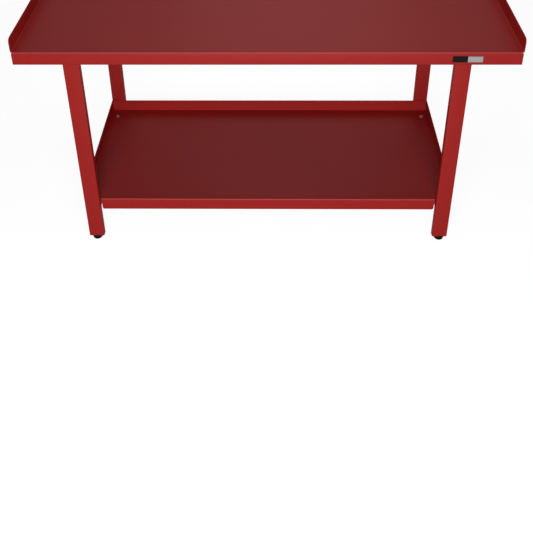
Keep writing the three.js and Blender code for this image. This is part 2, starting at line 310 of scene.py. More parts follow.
@dataclass(frozen=True)
class SoleRubber(Finish):
    """Black moulded rubber: duller than the nylon, with a wider grain that is also drawn coarser."""

    name: str = "sole_rubber"
    slot: str = "sole_rubber"
    colour: str = "#0C0C0C"
    other_colour: str = "#141414"
    roughness: tuple[float, float] = (0.75, 0.92)
    grains: tuple[Grain, ...] = (Grain(1.2, 2.0),)
    relief_mm: float = 0.08
    relief_strength: float = 0.6
    specular: float = 0.1


@dataclass(frozen=True)
class BadgeLacquer(Finish):
    """Black lacquer, sprayed on a badge: smooth and a little glossy, with a slow unevenness."""

    name: str = "badge_lacquer"
    slot: str = "badge_black"
    colour: str = "#121213"
    other_colour: str = "#161618"
    roughness: tuple[float, float] = (0.22, 0.32)
    grains: tuple[Grain, ...] = (Grain(6.0, 2.0),)
    relief_mm: float = 0.01
    relief_strength: float = 0.6
    specular: float = 0.07


@dataclass(frozen=True)
class BrushedAluminium(Finish):
    """Aluminium brushed along its length: a pale metal with lines along X in tint, gloss and bump.

    The real lines are too fine to show, so they are drawn coarser.
    """

    name: str = "brushed_aluminium"
    slot: str = "badge_silver"
    colour: str = "#9A9797"
    other_colour: str = "#878485"
    roughness: tuple[float, float] = (0.3, 0.48)
    grains: tuple[Grain, ...] = (Grain(0.5, 2.0, 40.0),)
    relief_mm: float = 0.02
    relief_strength: float = 0.4
    metallic: float = 1.0


def start_tree(name: str, sizes: dict[str, SizeKind]) -> tuple[NodeTree, dict[str, NodeSocket]]:
    """Starts a Geometry Nodes tree with named inputs.

    Args:
        name: The tree's name.
        sizes: Its inputs, apart from the geometry that it starts from and its finish.

    Returns:
        The tree, and the outputs of its input node by name.
    """
    tree = bpy.data.node_groups.new(name, "GeometryNodeTree")
    for label, kind in {"Geometry": SizeKind.START, **sizes, "Finish": SizeKind.FINISH}.items():
        tree.interface.new_socket(label, in_out="INPUT", socket_type=kind.value)
    tree.interface.new_socket("Geometry", in_out="OUTPUT", socket_type=SizeKind.START.value)
    outputs = add_node(tree, "NodeGroupInput").outputs
    return tree, {socket.name: socket for socket in outputs if socket.name}


def end_tree(tree: NodeTree, shape: Node, finish: NodeSocket) -> None:
    """Ends a tree in Realize Instances and Set Material.

    Args:
        tree: The tree to end.
        shape: The node that makes its geometry.
        finish: The material that dresses it.
    """
    plain = add_node(tree, "GeometryNodeRealizeInstances", inputs={"Geometry": shape})
    dressed = add_node(tree, "GeometryNodeSetMaterial", inputs={"Geometry": plain, "Material": finish})
    add_node(tree, "NodeGroupOutput", inputs={0: dressed})


def add_object(name: str, data: ID) -> Object:
    """Links a mesh, a lamp or a camera into the scene.

    Args:
        name: The object's name.
        data: What it shows.

    Returns:
        The object, at the origin.
    """
    made = bpy.data.objects.new(name, data)
    bpy.context.scene.collection.objects.link(made)
    return made


def settle(piece: Object) -> None:
    """Turns a piece with its modifiers into a plain mesh.

    Args:
        piece: The piece, whose modifiers are cleared.
    """
    graph = bpy.context.evaluated_depsgraph_get()
    mesh = bpy.data.meshes.new_from_object(
        piece.evaluated_get(graph), preserve_all_data_layers=True, depsgraph=graph
    )
    before = piece.data
    piece.modifiers.clear()
    piece.data = mesh
    bpy.data.meshes.remove(before)
    mesh.name = piece.name


def soften(piece: Object) -> None:
    """Shades a piece smooth, apart from edges that turn sharply."""
    piece.data.shade_smooth()
    piece.data.set_sharp_from_angle(angle=SMOOTH_BELOW)


def thicken(piece: Object, sheet: float, offset: float) -> None:
    """Gives a piece the thickness of its sheet by a modifier.

    Args:
        piece: The piece, without thickness.
        sheet: The sheet's thickness.
        offset: -1 to grow behind its faces, 0 to grow as much on both sides.
    """
    wall = piece.modifiers.new("sheet", "SOLIDIFY")
    wall.thickness = sheet
    wall.offset = offset
    wall.use_even_offset = True


def break_edges(piece: Object, width: float) -> None:
    """Rounds the sharp edges of a piece a little and keeps it as a plain mesh.

    Args:
        piece: The piece.
        width: How far the round reaches from an edge.
    """
    rim = piece.modifiers.new("edge", "BEVEL")
    rim.width = width
    rim.segments = BREAK_STEPS
    rim.angle_limit = BREAK_ABOVE
    rim.use_clamp_overlap = False
    rim.harden_normals = True
    piece.data.shade_smooth()
    settle(piece)


def grow(
    name: str,
    tree: NodeTree,
    finish: Finish,
    values: dict[str, object],
    points: Sequence[Vector] = (),
    edges: Sequence[tuple[int, int]] = (),
) -> Object:
    """Runs a Geometry Nodes tree once and keeps what it makes.

    Args:
        name: The piece's name.
        tree: The tree to run.
        finish: What dresses the piece.
        values: The tree's other named inputs.
        points: The points that the tree starts from: places, or the corners of a path.
        edges: The path's edges between those points.

    Returns:
        The piece as a plain mesh, smooth apart from its sharp edges.
    """
    start = bpy.data.meshes.new(name)
    start.from_pydata(points, edges, [])
    piece = add_object(name, start)
    modifier = piece.modifiers.new("grow", "NODES")
    modifier.node_group = tree
    given = {**values, "Finish": finish.material}
    for item in tree.interface.items_tree:
        if item.in_out == "INPUT" and item.name in given:
            modifier[item.identifier] = given[item.name]
    settle(piece)
    soften(piece)
    return piece


def keep_mesh(name: str, shape: BMesh, material: Material) -> Object:
    """Makes a piece of a bmesh.

    Args:
        name: The piece's name.
        shape: The bmesh, which is freed.
        material: The material that dresses it.

    Returns:
        The new piece.
    """
    mesh = bpy.data.meshes.new(name)
    shape.to_mesh(mesh)
    shape.free()
    mesh.materials.append(material)
    return add_object(name, mesh)


def seat(piece: Object, body: str, finish: Finish, *nodes: str) -> Object:
    """Hands a finished piece to the frame.

    Args:
        piece: The piece, in its place.
        body: The body that it rides on.
        finish: What dresses it. Not used.
        nodes: The frame's nodes that it stands for, if any.

    Returns:
        The same piece.
    """
    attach(piece, body)
    if nodes:
        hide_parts(*nodes)
    LOG.info("%s rides on %s", piece.name, body)
    return piece


def even_steps(steps: int) -> list[float]:
    """Even steps from 0 to 1, both included."""
    return [step / steps for step in range(steps + 1)]


def quarter(steps: int) -> Outline:
    """Sine and cosine at even steps of a quarter turn, both ends included."""
    angles = [math.pi / 2 * step / steps for step in range(steps + 1)]
    return [(math.sin(angle), math.cos(angle)) for angle in angles]


def add_face(shape: BMesh, points: Sequence[Sequence[float]]) -> None:
    """Adds a face with corners of its own."""
    shape.faces.new([shape.verts.new(point) for point in points])


def add_strips(shape: BMesh, rows: Sequence[Sequence[Vector]]) -> list[list[BMVert]]:
    """Adds the four-sided faces between rows of points.

    Args:
        shape: The bmesh that takes the faces.
        rows: The points, each row as long as the one before.

    Returns:
        The new corners, row by row.
    """
    made = [[shape.verts.new(point) for point in row] for row in rows]
    for low, high in zip(made, made[1:]):
        for i in range(len(low) - 1):
            shape.faces.new((low[i], low[i + 1], high[i + 1], high[i]))
    return made


def turned(outline: Outline, sides: int, flats: float = 0.0) -> BMesh:
    """A shape turned about Z, cut to a hexagon where it has flats.

    Args:
        outline: Radius and height of each ring, from the start to the end of the outline.
        sides: The faces of each ring.
        flats: The distance between opposite flats, or 0 for a round shape.

    Returns:
        The shape, closed where its outline starts and ends on the axis or in one point.
    """
    shape = bmesh.new()
    rows = []
    for radius, height in outline:
        row = []
        for side in range(sides + 1):
            angle = FULL_TURN * side / sides
            reach = radius
            if flats:
                reach = min(radius, flats / 2 / math.cos(angle % HEX_TURN - HEX_TURN / 2))
            row.append(Vector((reach * math.cos(angle), reach * math.sin(angle), height)))
        rows.append(row)
    add_strips(shape, rows)
    bmesh.ops.remove_doubles(shape, verts=shape.verts, dist=WELD_DISTANCE)
    bmesh.ops.dissolve_degenerate(shape, edges=shape.edges, dist=WELD_DISTANCE)
    bmesh.ops.recalc_face_normals(shape, faces=shape.faces)
    return shape


@dataclass
class FoldedTray:
    """A tray folded from one sheet: its sides and rear turned up, its front turned down."""

    name: str
    node: str
    finish: Finish
    floor: float
    drop_half: float
    drop_corner: float = 0.0
    hem: float = 0.0
    hem_gaps: tuple[tuple[float, float], ...] = ()
    sheet: float = 2.5 * MM
    bend: float = 2.5 * MM
    lip_corner: float = 18 * MM
    lip_setback: float = 3 * MM
    relief: float = 2 * MM
    edge: float = 0.4 * MM
    bend_steps: int = 6
    plain_steps: int = 2
    corner_steps: int = 8
    outer: float = field(init=False)
    side: float = field(init=False)
    front: float = field(init=False)
    rear: float = field(init=False)
    lip: float = field(init=False)
    drop: float = field(init=False)
    slot_half: float = field(init=False)
    rows: list[float] = field(init=False)
    columns: list[float] = field(init=False)
    fold: Outline = field(init=False)
    shape: BMesh = field(init=False, default_factory=bmesh.new)

    def __post_init__(self) -> None:
        """Takes the tray's reach from the frame. Heights count from the floor's upper face."""
        low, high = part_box(self.node)
        self.outer = self.bend + self.sheet
        self.side = high.x - self.outer
        self.front = low.y
        self.rear = high.y - self.outer
        self.lip = high.z - self.floor
        self.drop = self.floor - low.z
        self.slot_half = min(self.drop_half + self.relief, self.side)
        ear = self.front + self.lip_setback
        self.rows = [ear, self.front + self.outer, ear + self.lip_corner, self.rear]
        bend_half = min(self.drop_half, self.side)
        marks = {self.side, self.slot_half, bend_half, *(abs(x) for gap in self.hem_gaps for x in gap)}
        self.columns = sorted({sign * mark for mark in marks for sign in (-1, 1)})
        self.fold = [(self.bend * s, self.bend * (1 - c)) for s, c in quarter(self.bend_steps)]

    def add_floor(self) -> None:
        """Adds the flat floor, with an ear at each end of the front bend."""
        for near, far in zip(self.rows, self.rows[1:]):
            for left, right in zip(self.columns, self.columns[1:]):
                if near > self.rows[0] or abs(left + right) / 2 > self.slot_half:
                    corners = ((left, near), (right, near), (right, far), (left, far))
                    add_face(self.shape, [(x, y, 0.0) for x, y in corners])

    def add_sides(self) -> None:
        """Adds both side bends and lips, each lip rounded at its front corner and mitred at the rear."""
        wall = self.side + self.bend
        corner, end = self.rows[2], self.rear + self.bend
        rounded = [(y, self.bend) for y in self.rows[:3]]
        rounded += [
            (corner - self.lip_corner * cosine, self.lip - self.lip_corner * (1 - sine))
            for sine, cosine in reversed(quarter(self.corner_steps))
        ]
        straight = [(corner, self.bend), (end, self.bend), (end, self.lip), (corner, self.lip)]
        for sign in (-1, 1):
            reach = [(sign * (self.side + out), up) for out, up in self.fold]
            bends = [[Vector((x, y, up)) for x, up in reach] for y in self.rows[:-1]]
            mitre = [self.rear + out for out, _ in self.fold]
            bends.append([Vector((x, y, up)) for (x, up), y in zip(reach, mitre)])
            add_strips(self.shape, bends)
            for outline in (rounded, straight):
                add_face(self.shape, [(sign * wall, y, z) for y, z in outline])

    def add_rear(self) -> None:
        """Adds the rear bend and lip, mitred into the sides."""
        left, *inner, right = self.columns
        strips = []
        for out, up in (*self.fold, (self.bend, self.lip)):
            strips.append([Vector((x, self.rear + out, up)) for x in (left - out, *inner, right + out)])
        add_strips(self.shape, strips)

    def add_front(self) -> None:
        """Adds the front bend, marked outside for a painted highlight, and what hangs from it: an apron or a
        plain drop.
        """
        inside = [x for x in self.columns if abs(x) <= self.drop_half + WELD_DISTANCE]
        lines = [
            [Vector((x, self.front + self.outer * (1 - sine), -self.outer * (1 - cosine))) for x in inside]
            for sine, cosine in quarter(self.bend_steps)
        ]
        bend = add_strips(self.shape, lines)
        # Marks the outside of the bend, apart from its ends, for the painted highlight.
        mark = self.shape.verts.layers.float[PAINTED_HIGHLIGHT_MARK]
        for corner in (corner for line in bend[self.plain_steps : -self.plain_steps] for corner in line):
            corner[mark] = 1.0
        if self.hem:
            self.add_apron(sorted({*inside, -self.drop_half, self.drop_half}))
        else:
            self.add_drop()

    def add_drop(self) -> None:
        """Adds the plain drop, rounded at its lower corners."""
        corner, arc = self.drop_corner, quarter(self.corner_steps)
        outline = [(-self.drop_half, -self.outer), (self.drop_half, -self.outer)]
        for hand, turns in ((1, arc), (-1, reversed(arc))):
            outline += [
                (hand * (self.drop_half - corner * (1 - cosine)), -self.drop + corner * (1 - sine))
                for sine, cosine in turns
            ]
        add_face(self.shape, [(x, self.front, z) for x, z in outline])

    def add_apron(self, columns: Sequence[float]) -> None:
        """Adds the apron and its hem, which is turned back below and open round the legs.

        Args:
            columns: Where the sheet is divided, from end to end.
        """
        lines = [(self.front, -self.outer)]
        lines += [
            (self.front + self.outer * (1 - cosine), -self.drop + self.outer * (1 - sine))
            for sine, cosine in quarter(self.bend_steps)
        ]
        add_strips(self.shape, [[Vector((x, y, z)) for x in columns] for y, z in lines])
        near, far = self.front + self.outer, self.front + self.hem
        for left, right in zip(columns, columns[1:]):
            if not any(low <= (left + right) / 2 <= high for low, high in self.hem_gaps):
                corners = ((left, near), (right, near), (right, far), (left, far))
                add_face(self.shape, [(x, y, -self.drop) for x, y in corners])

    def build(self) -> None:
        """Folds the sheet, gives it its thickness, breaks its edges and seats it."""
        shape = self.shape
        shape.verts.layers.float.new(PAINTED_HIGHLIGHT_MARK)
        self.add_floor()
        self.add_sides()
        self.add_rear()
        self.add_front()
        bmesh.ops.remove_doubles(shape, verts=shape.verts, dist=WELD_DISTANCE)
        bmesh.ops.recalc_face_normals(shape, faces=shape.faces)
        widest = max(shape.faces, key=lambda face: face.calc_area())
        if widest.normal.z < 0:
            bmesh.ops.reverse_faces(shape, faces=shape.faces)
        bmesh.ops.translate(shape, verts=shape.verts, vec=(0, 0, self.floor))
        tray = keep_mesh(self.name, shape, self.finish.material)
        thicken(tray, self.sheet, -1)
        break_edges(tray, self.edge)
        seat(tray, TABLE, self.finish, self.node)


@dataclass
class TubeFrame:
    """Four legs and four side rails of one rectangular tube, welded together, with three stiffeners."""

    finish: Finish
    width: float = 61 * MM
    depth: float = 28 * MM
    corner: float = 4 * MM
    wall: float = 2 * MM
    corner_steps: int = 6
    bead: float = 2.6 * MM
    bead_sides: int = 10
    ripple: float = 0.16
    ripple_step: float = 2.4 * MM
    ripple_parts: float = 6.0
    groove: float = 2.0 * MM
    hat_wide: float = 60 * MM
    hat_flange: float = 20 * MM
    hat_bend: float = 2 * MM
    hat_sheet: float = 1.5 * MM
    spot: float = 3.4 * MM
    spot_rise: float = 0.1
    spot_sides: tuple[int, int] = (16, 8)
    spot_step: float = 96 * MM

    def tube_tree(self) -> NodeTree:
        """Makes a tube along Z: a filleted ring that is filled, pushed up and closed below.

        Returns:
            The tree.
        """
        labels = ("Width", "Depth", "Corner", "Wall", "Length")
        tree, given = start_tree("square_tube", dict.fromkeys(labels, SizeKind.LENGTH))
        rings = []
        for walls in (0.0, 1.0):
            wide, deep, fillet = (
                add_node(
                    tree,
                    "ShaderNodeMath",
                    {"operation": "MULTIPLY_ADD"},
                    {0: given["Wall"], 1: -share * walls, 2: given[label]},
                )
                for label, share in (("Width", 2.0), ("Depth", 2.0), ("Corner", 1.0))
            )
            sizes = {"Width": wide, "Height": deep}
            box = add_node(tree, "GeometryNodeCurvePrimitiveQuadrilateral", inputs=sizes)
            turn = {"Count": self.corner_steps, "Radius": fillet, "Limit Radius": True}
            rings.append(add_node(tree, "GeometryNodeFilletCurve", {"mode": "POLY"}, {"Curve": box, **turn}))
        both = add_node(tree, "GeometryNodeJoinGeometry", inputs={0: rings})
        cut = add_node(tree, "GeometryNodeFillCurve", inputs={"Curve": both})
        up = add_node(tree, "ShaderNodeCombineXYZ", inputs={"Z": given["Length"]})
        pushed = add_node(
            tree,
            "GeometryNodeExtrudeMesh",
            inputs={"Mesh": cut, "Offset": up, "Offset Scale": 1.0, "Individual": False},
        )
        below = add_node(tree, "GeometryNodeFlipFaces", inputs={"Mesh": cut})
        closed = add_node(tree, "GeometryNodeJoinGeometry", inputs={0: [pushed, below]})
        merged = add_node(
            tree, "GeometryNodeMergeByDistance", inputs={"Geometry": closed, "Distance": WELD_DISTANCE}
        )
        end_tree(tree, merged, given["Finish"])
        return tree

    def bead_tree(self) -> NodeTree:
        """Makes a weld bead: a round cord along a path, rippled where the puddle set.

        Returns:
            The tree.
        """
        tree, given = start_tree("weld_bead", dict.fromkeys(("Bead", "Ripple", "Step"), SizeKind.LENGTH))
        path = add_node(tree, "GeometryNodeMeshToCurve", inputs={"Mesh": given["Geometry"]})
        part = add_node(
            tree, "ShaderNodeMath", {"operation": "DIVIDE"}, {0: given["Step"], 1: self.ripple_parts}
        )
        parts = {"Curve": path, "Length": part}
        even = add_node(tree, "GeometryNodeResampleCurve", {"mode": "LENGTH"}, parts)
        along = add_node(tree, "GeometryNodeSplineParameter").outputs["Length"]
        turns = add_node(tree, "ShaderNodeMath", {"operation": "DIVIDE"}, {0: along, 1: given["Step"]})
        angle = add_node(tree, "ShaderNodeMath", {"operation": "MULTIPLY"}, {0: turns, 1: FULL_TURN})
        wave = add_node(tree, "ShaderNodeMath", {"operation": "SINE"}, {0: angle})
        swell = add_node(
            tree, "ShaderNodeMath", {"operation": "MULTIPLY_ADD"}, {0: wave, 1: given["Ripple"], 2: 1.0}
        )
        size = add_node(tree, "ShaderNodeMath", {"operation": "MULTIPLY"}, {0: swell, 1: given["Bead"]})
        ring = add_node(
            tree, "GeometryNodeCurvePrimitiveCircle", inputs={"Resolution": self.bead_sides, "Radius": 1.0}
        )
        cord = add_node(
            tree,
            "GeometryNodeCurveToMesh",
            inputs={"Curve": even, "Profile Curve": ring, "Scale": size, "Fill Caps": True},
        )
        end_tree(tree, cord, given["Finish"])
        return tree

    def hat_tree(self) -> NodeTree:
        """Makes a folded strip: a path with rounded bends, pushed along X.

        Returns:
            The tree.
        """
        tree, given = start_tree("folded_strip", dict.fromkeys(("Bend", "Length"), SizeKind.LENGTH))
        path = add_node(tree, "GeometryNodeMeshToCurve", inputs={"Mesh": given["Geometry"]})
        turn = {"Count": self.corner_steps, "Radius": given["Bend"], "Limit Radius": True}
        bent = add_node(tree, "GeometryNodeFilletCurve", {"mode": "POLY"}, {"Curve": path, **turn})
        line = add_node(tree, "GeometryNodeCurveToMesh", inputs={"Curve": bent})
        far = add_node(tree, "ShaderNodeCombineXYZ", inputs={"X": given["Length"]})
        pushed = add_node(
            tree,
            "GeometryNodeExtrudeMesh",
            {"mode": "EDGES"},
            {"Mesh": line, "Offset": far, "Offset Scale": 1.0},
        )
        end_tree(tree, pushed, given["Finish"])
        return tree

    def spot_tree(self) -> NodeTree:
        """Makes spot welds: one shallow lens at each point.

        Returns:
            The tree.
        """
        tree, given = start_tree("spot_welds", {"Radius": SizeKind.LENGTH})
        around, rings = self.spot_sides
        ball = add_node(
            tree,
            "GeometryNodeMeshUVSphere",
            inputs={"Segments": around, "Rings": rings, "Radius": given["Radius"]},
        )
        lens = add_node(
            tree, "GeometryNodeTransform", inputs={"Geometry": ball, "Scale": (1.0, 1.0, self.spot_rise)}
        )
        spread = add_node(
            tree, "GeometryNodeInstanceOnPoints", inputs={"Points": given["Geometry"], "Instance": lens}
        )
        end_tree(tree, spread, given["Finish"])
        return tree

    def build_tubes(self) -> None:
        """Builds the legs and the rails, each in the place of its node, and seats them."""
        tree = self.tube_tree()
        ways = {corner.node("leg"): Vector((0, 0, 1)) for corner in Corner}
        for level in ("upper", "lower"):
            for hand in ("left", "right"):
                ways[f"{hand}_{level}_rail"] = Vector((0, 1, 0))
        sizes = {"Width": self.width, "Depth": self.depth, "Corner": self.corner, "Wall": self.wall}
        for node, along in ways.items():
            low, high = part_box(node)
            length = (high - low).dot(along)
            tube = grow(f"{node}_tube", tree, self.finish, {**sizes, "Length": length})
            lay = along.rotation_difference(Vector((0, 0, 1))).inverted().to_matrix().to_4x4()
            tube.data.transform(Matrix.Translation((low + high) / 2 - along * length / 2) @ lay)
            seat(tube, TABLE, self.finish, node)

    def build_welds(self) -> None:
        """Builds the beads that hold the rails on the legs, round the three sides that a torch reaches."""
        points: list[Vector] = []
        edges: list[tuple[int, int]] = []
        for level in ("upper", "lower"):
            for corner in Corner:
                across, along = corner.value
                low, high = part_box(f"{'left' if across < 0 else 'right'}_{level}_rail")
                end = (high if along > 0 else low).y
                start = len(points)
                path = (
                    (low.x + self.groove, high.z - self.corner),
                    (low.x + self.groove, low.z + self.corner),
                    (low.x + self.corner, low.z),
                    (high.x - self.corner, low.z),
                    (high.x - self.groove, low.z + self.corner),
                    (high.x - self.groove, high.z - self.corner),
                )
                points += [Vector((x, end, z)) for x, z in path]
                edges += [(start + i, start + i + 1) for i in range(len(path) - 1)]
        values = {"Bead": self.bead, "Ripple": self.ripple, "Step": self.ripple_step}
        beads = grow("rail_weld_beads", self.bead_tree(), self.finish, values, points, edges)
        seat(beads, TABLE, self.finish)

    def build_stiffeners(self) -> None:
        """Builds the three hat sections and the spot welds on their flanges."""
        tree = self.hat_tree()
        half = self.hat_sheet / 2
        wall = (self.hat_wide - self.hat_sheet) / 2
        spots: list[Vector] = []
        for place in ("front_top", "rear_top", "shelf"):
            node = f"{place}_stiffener"
            low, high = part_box(node)
            middle, length = (low.y + high.y) / 2, high.x - low.x
            outline = (
                (low.y, high.z - half),
                (middle - wall, high.z - half),
                (middle - wall, low.z + half),
                (middle + wall, low.z + half),
                (middle + wall, high.z - half),
                (high.y, high.z - half),
            )
            points = [Vector((low.x, y, z)) for y, z in outline]
            edges = [(i, i + 1) for i in range(len(points) - 1)]
            values = {"Bend": self.hat_bend + half, "Length": length}
            hat = grow(f"{node}_hat", tree, self.finish, values, points, edges)
            thicken(hat, self.hat_sheet, 0)
            settle(hat)
            soften(hat)
            seat(hat, TABLE, self.finish, node)
            count = round(length / self.spot_step)
            for i in range(count):
                x = low.x + length * (i + 0.5) / count
                for y in (low.y + self.hat_flange / 2, high.y - self.hat_flange / 2):
                    spots.append(Vector((x, y, high.z - self.hat_sheet)))
        welds = grow("stiffener_spot_welds", self.spot_tree(), self.finish, {"Radius": self.spot}, spots)
        seat(welds, TABLE, self.finish)

    def build(self) -> None:
        """Builds the whole frame."""
        self.build_tubes()
        self.build_welds()
        self.build_stiffeners()


@dataclass(frozen=True)
class Thread:
    """A metric thread, cut on rods that end in a point."""

    diameter: float
    pitch: float
    depth_share: float = 0.61
    point_share: float = 0.7
    sides: int = 24
    turn_rings: int = 6

    @cached_property
    def tree(self) -> NodeTree:
        """Makes threaded rods: a cylinder whose rings are pulled in along a helix, at each point.

        Returns:
            The tree.
        """
        sizes = dict.fromkeys(("Diameter", "Pitch", "Length"), SizeKind.LENGTH)
        tree, given = start_tree("threaded_rod", {**sizes, "Rings": SizeKind.COUNT})
        plain = {"Vertices": self.sides, "Side Segments": given["Rings"]}
        plain |= {"Radius": 1.0, "Depth": given["Length"]}
        rod = add_node(tree, "GeometryNodeMeshCylinder", inputs=plain)
        at = add_node(tree, "ShaderNodeSeparateXYZ", inputs={0: add_node(tree, "GeometryNodeInputPosition")})
        known = {**given, "x": at.outputs["X"], "y": at.outputs["Y"], "z": at.outputs["Z"]}
        # Each step is its name, what it does, and the names or numbers that it does it with.
        # The wave runs from 0 to one half, so twice the depth is taken of it.
        for step, trade, *terms in (
            ("angle", "ARCTAN2", "y", "x"),
            ("turns", "DIVIDE", "angle", FULL_TURN),
            ("climb", "DIVIDE", "z", "Pitch"),
            ("phase", "SUBTRACT", "climb", "turns"),
            ("wave", "PINGPONG", "phase", 0.5),
            ("depth", "MULTIPLY", "Pitch", 2 * self.depth_share),
            ("sunk", "MULTIPLY", "wave", "depth"),
            ("crest", "MULTIPLY", "Diameter", 0.5),
            ("flank", "SUBTRACT", "crest", "sunk"),
            ("half", "MULTIPLY", "Length", 0.5),
            ("away", "ABSOLUTE", "z"),
            ("to_end", "SUBTRACT", "half", "away"),
            ("root", "MULTIPLY_ADD", "Pitch", -self.point_share, "crest"),
            ("tip", "ADD", "root", "to_end"),
            ("reach", "MINIMUM", "flank", "tip"),
            ("cosine", "COSINE", "angle"),
            ("sine", "SINE", "angle"),
            ("X", "MULTIPLY", "cosine", "reach"),
            ("Y", "MULTIPLY", "sine", "reach"),
            ("Z", "ADD", "z", "half"),
        ):
            values = {i: known.get(term, term) for i, term in enumerate(terms)}
            known[step] = add_node(tree, "ShaderNodeMath", {"operation": trade}, values).outputs[0]
        moved = add_node(tree, "ShaderNodeCombineXYZ", inputs={axis: known[axis] for axis in "XYZ"})
        cut = add_node(tree, "GeometryNodeSetPosition", inputs={"Geometry": rod, "Position": moved})
        spread = add_node(
            tree, "GeometryNodeInstanceOnPoints", inputs={"Points": given["Geometry"], "Instance": cut}
        )
        end_tree(tree, spread, given["Finish"])
        return tree

    def add_rods(self, name: str, places: Sequence[Vector], length: float, finish: Finish) -> Object:
        """Adds a threaded rod that stands on each of some points.

        Args:
            name: The piece's name.
            places: Where the rods' lower ends are.
            length: Their length.
            finish: What dresses them.

        Returns:
            The rods as one piece.
        """
        values = {"Diameter": self.diameter, "Pitch": self.pitch, "Length": length}
        values["Rings"] = round(length / self.pitch * self.turn_rings)
        return grow(name, self.tree, finish, values, places)


@dataclass
class Fasteners:
    """The bolts, washers, nuts and studs that hold the shelf and the top, and the feet's weld nuts."""

    finish: Finish
    bolt_thread: Thread
    foot_thread: Thread
    flats: float = 13 * MM
    chamfer: float = 1.1 * MM
    chamfer_steps: int = 5
    land_share: float = 0.95
    head: float = 5.3 * MM
    collar: float = 0.5 * MM
    collar_share: float = 0.46
    washer_edge: float = 0.25 * MM
    washer_play: float = 0.5 * MM
    sides: int = 48
    seed: int = 4

    @cached_property
    def tree(self) -> NodeTree:
        """Makes a set of equal parts: one at each point, each turned its own way as it was tightened.

        Returns:
            The tree.
        """
        tree, given = start_tree("fastener_set", {"Part": SizeKind.SHAPE})
        part = add_node(tree, "GeometryNodeObjectInfo", inputs={"Object": given["Part"]})
        turn = add_node(tree, "FunctionNodeRandomValue", inputs={2: 0.0, 3: HEX_TURN, "Seed": self.seed})
        about = add_node(tree, "ShaderNodeCombineXYZ", inputs={"Z": turn.outputs[1]})
        spread = add_node(
            tree,
            "GeometryNodeInstanceOnPoints",
            inputs={"Points": given["Geometry"], "Instance": part.outputs["Geometry"], "Rotation": about},
        )
        end_tree(tree, spread, given["Finish"])
        return tree

    def hex_outline(self, flats: float, height: float, bore: float, both: bool) -> Outline:
        """The outline of a hexagon nut or head, chamfered on top, or on both faces.

        Args:
            flats: The distance between opposite flats.
            height: Its height from 0.
            bore: The radius of its hole, or 0.
            both: Whether the lower face is chamfered too.

        Returns:
            Radius and height of each ring, from the bore's lower edge round to its upper one.
        """
        corner = flats / math.sqrt(3)
        inside = flats / 2 * self.land_share
        top = [
            (corner + (inside - corner) * share, height - self.chamfer * (1 - share))
            for share in even_steps(self.chamfer_steps)
        ]
        low = [(radius, height - z) for radius, z in reversed(top)] if both else [(corner, 0.0)]
        return [(bore, 0.0), *low, *top, (bore, height)]

    def size(self, piece: str) -> Vector:
        """The size of a piece, which is the same at each corner."""
        low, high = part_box(Corner.FRONT_LEFT.node(piece))
        return high - low

    def places(self, piece: str) -> list[Vector]:
        """The middle of the lower face of each of a piece's four nodes."""
        boxes = [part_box(node) for node in Corner.nodes(piece)]
        return [Vector(((low.x + high.x) / 2, (low.y + high.y) / 2, low.z)) for low, high in boxes]

    def add_set(self, name: str, piece: str, shape: BMesh) -> None:
        """Adds one part at each of the four corners and seats the set.

        Args:
            name: The set's name.
            piece: The ending of the four nodes that it stands for.
            shape: The part, standing on 0, which is freed.
        """
        part = keep_mesh(f"{name}_part", shape, self.finish.material)
        made = grow(name, self.tree, self.finish, {"Part": part}, self.places(piece))
        bpy.data.objects.remove(part)
        seat(made, TABLE, self.finish, *Corner.nodes(piece))

    def build_washers(self) -> None:
        """Builds the shelf's washers, with broken edges."""
        size, edge = self.size("shelf_washer"), self.washer_edge
        rim, thick = size.x / 2, size.z
        hole = self.bolt_thread.diameter / 2 + self.washer_play
        ring = [(hole, 0.0), (rim - edge, 0.0), (rim, edge), (rim, thick - edge), (rim - edge, thick)]
        ring += [(hole + edge, thick), (hole, thick - edge), (hole, 0.0)]
        self.add_set("shelf_washer_set", "shelf_washer", turned(ring, self.sides))

    def build_nuts(self, piece: str, thread: Thread, flats: float) -> None:
        """Builds four equal nuts.

        Args:
            piece: The ending of the four nodes that they stand for.
            thread: The thread that they take.
            flats: The distance between opposite flats.
        """
        outline = self.hex_outline(flats, self.size(piece).z, thread.diameter / 2, True)
        self.add_set(f"{piece}_set", piece, turned([*outline, outline[0]], self.sides, flats))

    def build_bolts(self) -> None:
        """Builds the four shelf bolts: a chamfered head on a collar, and a threaded shank."""
        shank = self.size("shelf_bolt").z - self.head
        plain = self.hex_outline(self.flats, self.head - self.collar, 0.0, False)
        neck = self.flats * self.collar_share
        outline = [(0.0, 0.0), (neck, 0.0), (neck, self.collar)]
        outline += [(radius, z + self.collar) for radius, z in plain[1:]]
        heads = turned(outline, self.sides, self.flats)
        bmesh.ops.translate(heads, verts=heads.verts, vec=(0, 0, shank))
        self.add_set("shelf_bolt_head_set", "shelf_bolt", heads)
        places = self.places("shelf_bolt")
        shanks = self.bolt_thread.add_rods("shelf_bolt_shank_set", places, shank, self.finish)
        seat(shanks, TABLE, self.finish)

    def build(self) -> None:
        """Builds each set of fasteners and seats it."""
        self.build_washers()
        self.build_nuts("shelf_nut", self.bolt_thread, self.flats)
        self.build_nuts("top_nut", self.bolt_thread, self.flats)
        self.build_bolts()
        length, places = self.size("top_stud").z, self.places("top_stud")
        studs = self.bolt_thread.add_rods("top_stud_set", places, length, self.finish)
        seat(studs, TABLE, self.finish, *Corner.nodes("top_stud"))
        self.build_nuts("weld_nut", self.foot_thread, self.size("weld_nut").y)


